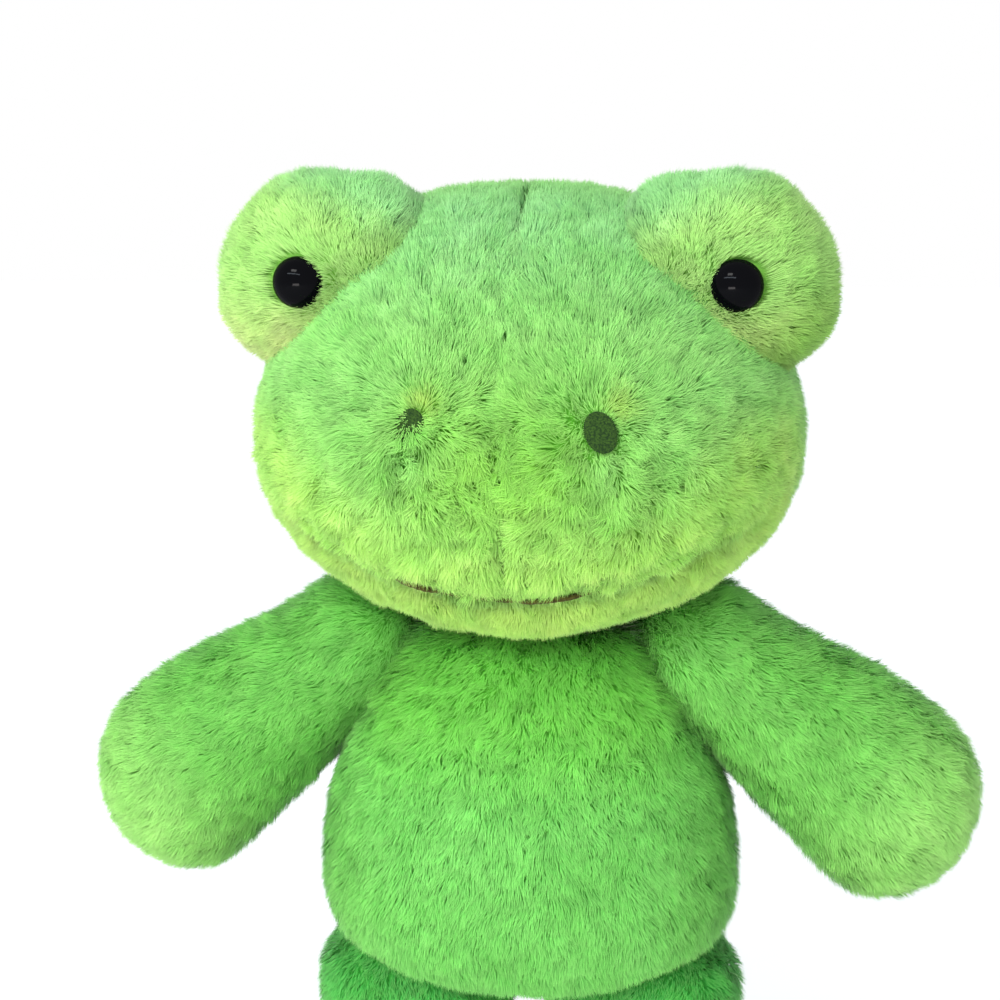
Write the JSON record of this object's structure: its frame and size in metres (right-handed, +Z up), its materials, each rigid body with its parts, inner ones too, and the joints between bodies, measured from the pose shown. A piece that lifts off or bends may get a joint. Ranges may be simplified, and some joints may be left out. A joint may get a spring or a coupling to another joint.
{
  "type": "plush frog",
  "caption": "Standing stuffed frog of green pile fabric with a wide turning head, raised eye bulges, swinging mitten arms and legs that fold forwards so that it sits.",
  "frame": {"origin": "bottom centre of the box round the standing frog, on the plane of its soles", "axes": "+Z up, -Y the way the face looks, +X to the right of someone who faces the frog; the halves mirror each other across X = 0"},
  "size_m": [0.3312, 0.1528, 0.404],
  "materials": {
    "pile_green": "long pile fabric, brushed",
    "pile_lime": "long pile fabric, yellower, brushed",
    "pile_pale": "long pile fabric, paler towards the hand",
    "stuffing": "loose polyester fibre",
    "eye_black": "polished",
    "washer_white": "moulded",
    "thread_olive": "satin stitch",
    "thread_brown": "twisted thread",
    "thread_green": "twisted thread"
  },
  "bodies": {
    "torso": {"belly_panel": "pile_green", "back_panel_right": "pile_green", "back_panel_left": "pile_green", "torso_stuffing": "stuffing", "back_closing_stitch": "thread_green"},
    "head": {"face_panel_right": "pile_green", "face_panel_left": "pile_green", "jaw_panel": "pile_lime", "head_back_panel": "pile_green", "head_stuffing": "stuffing", "nostril_right": "thread_olive", "nostril_left": "thread_olive", "mouth_thread": "thread_brown", "eye_bulge_right_front": "pile_lime", "eye_bulge_right_back": "pile_lime", "eye_bulge_right_stuffing": "stuffing", "eye_right": "eye_black", "eye_washer_right": "washer_white", "eye_bulge_left_front": "pile_lime", "eye_bulge_left_back": "pile_lime", "eye_bulge_left_stuffing": "stuffing", "eye_left": "eye_black", "eye_washer_left": "washer_white"},
    "arm_right": {"arm_right_front": "pile_pale", "arm_right_back": "pile_pale", "arm_right_stuffing": "stuffing"},
    "leg_right": {"leg_right_front": "pile_green", "leg_right_back": "pile_green", "leg_right_sole": "pile_green", "leg_right_stuffing": "stuffing"},
    "arm_left": {"arm_left_front": "pile_pale", "arm_left_back": "pile_pale", "arm_left_stuffing": "stuffing"},
    "leg_left": {"leg_left_front": "pile_green", "leg_left_back": "pile_green", "leg_left_sole": "pile_green", "leg_left_stuffing": "stuffing"}
  },
  "joints": [
    {"name": "neck_turn", "type": "hinge", "parent": "torso", "child": "head", "pos_m": [0, 0.01114, 0.24], "axis": [0, 0, 1], "range_deg": [-20, 20]},
    {"name": "shoulder_right", "type": "hinge", "parent": "torso", "child": "arm_right", "pos_m": [0.063, 0.01114, 0.226], "axis": [-1, 0, 0], "range_deg": [-40, 80]},
    {"name": "shoulder_left", "type": "hinge", "parent": "torso", "child": "arm_left", "pos_m": [-0.063, 0.01114, 0.226], "axis": [-1, 0, 0], "range_deg": [-40, 80]},
    {"name": "hip_right", "type": "hinge", "parent": "torso", "child": "leg_right", "pos_m": [0.043, 0.01114, 0.097], "axis": [-1, 0, 0], "range_deg": [-20, 85]},
    {"name": "hip_left", "type": "hinge", "parent": "torso", "child": "leg_left", "pos_m": [-0.043, 0.01114, 0.097], "axis": [-1, 0, 0], "range_deg": [-20, 85]}
  ]
}
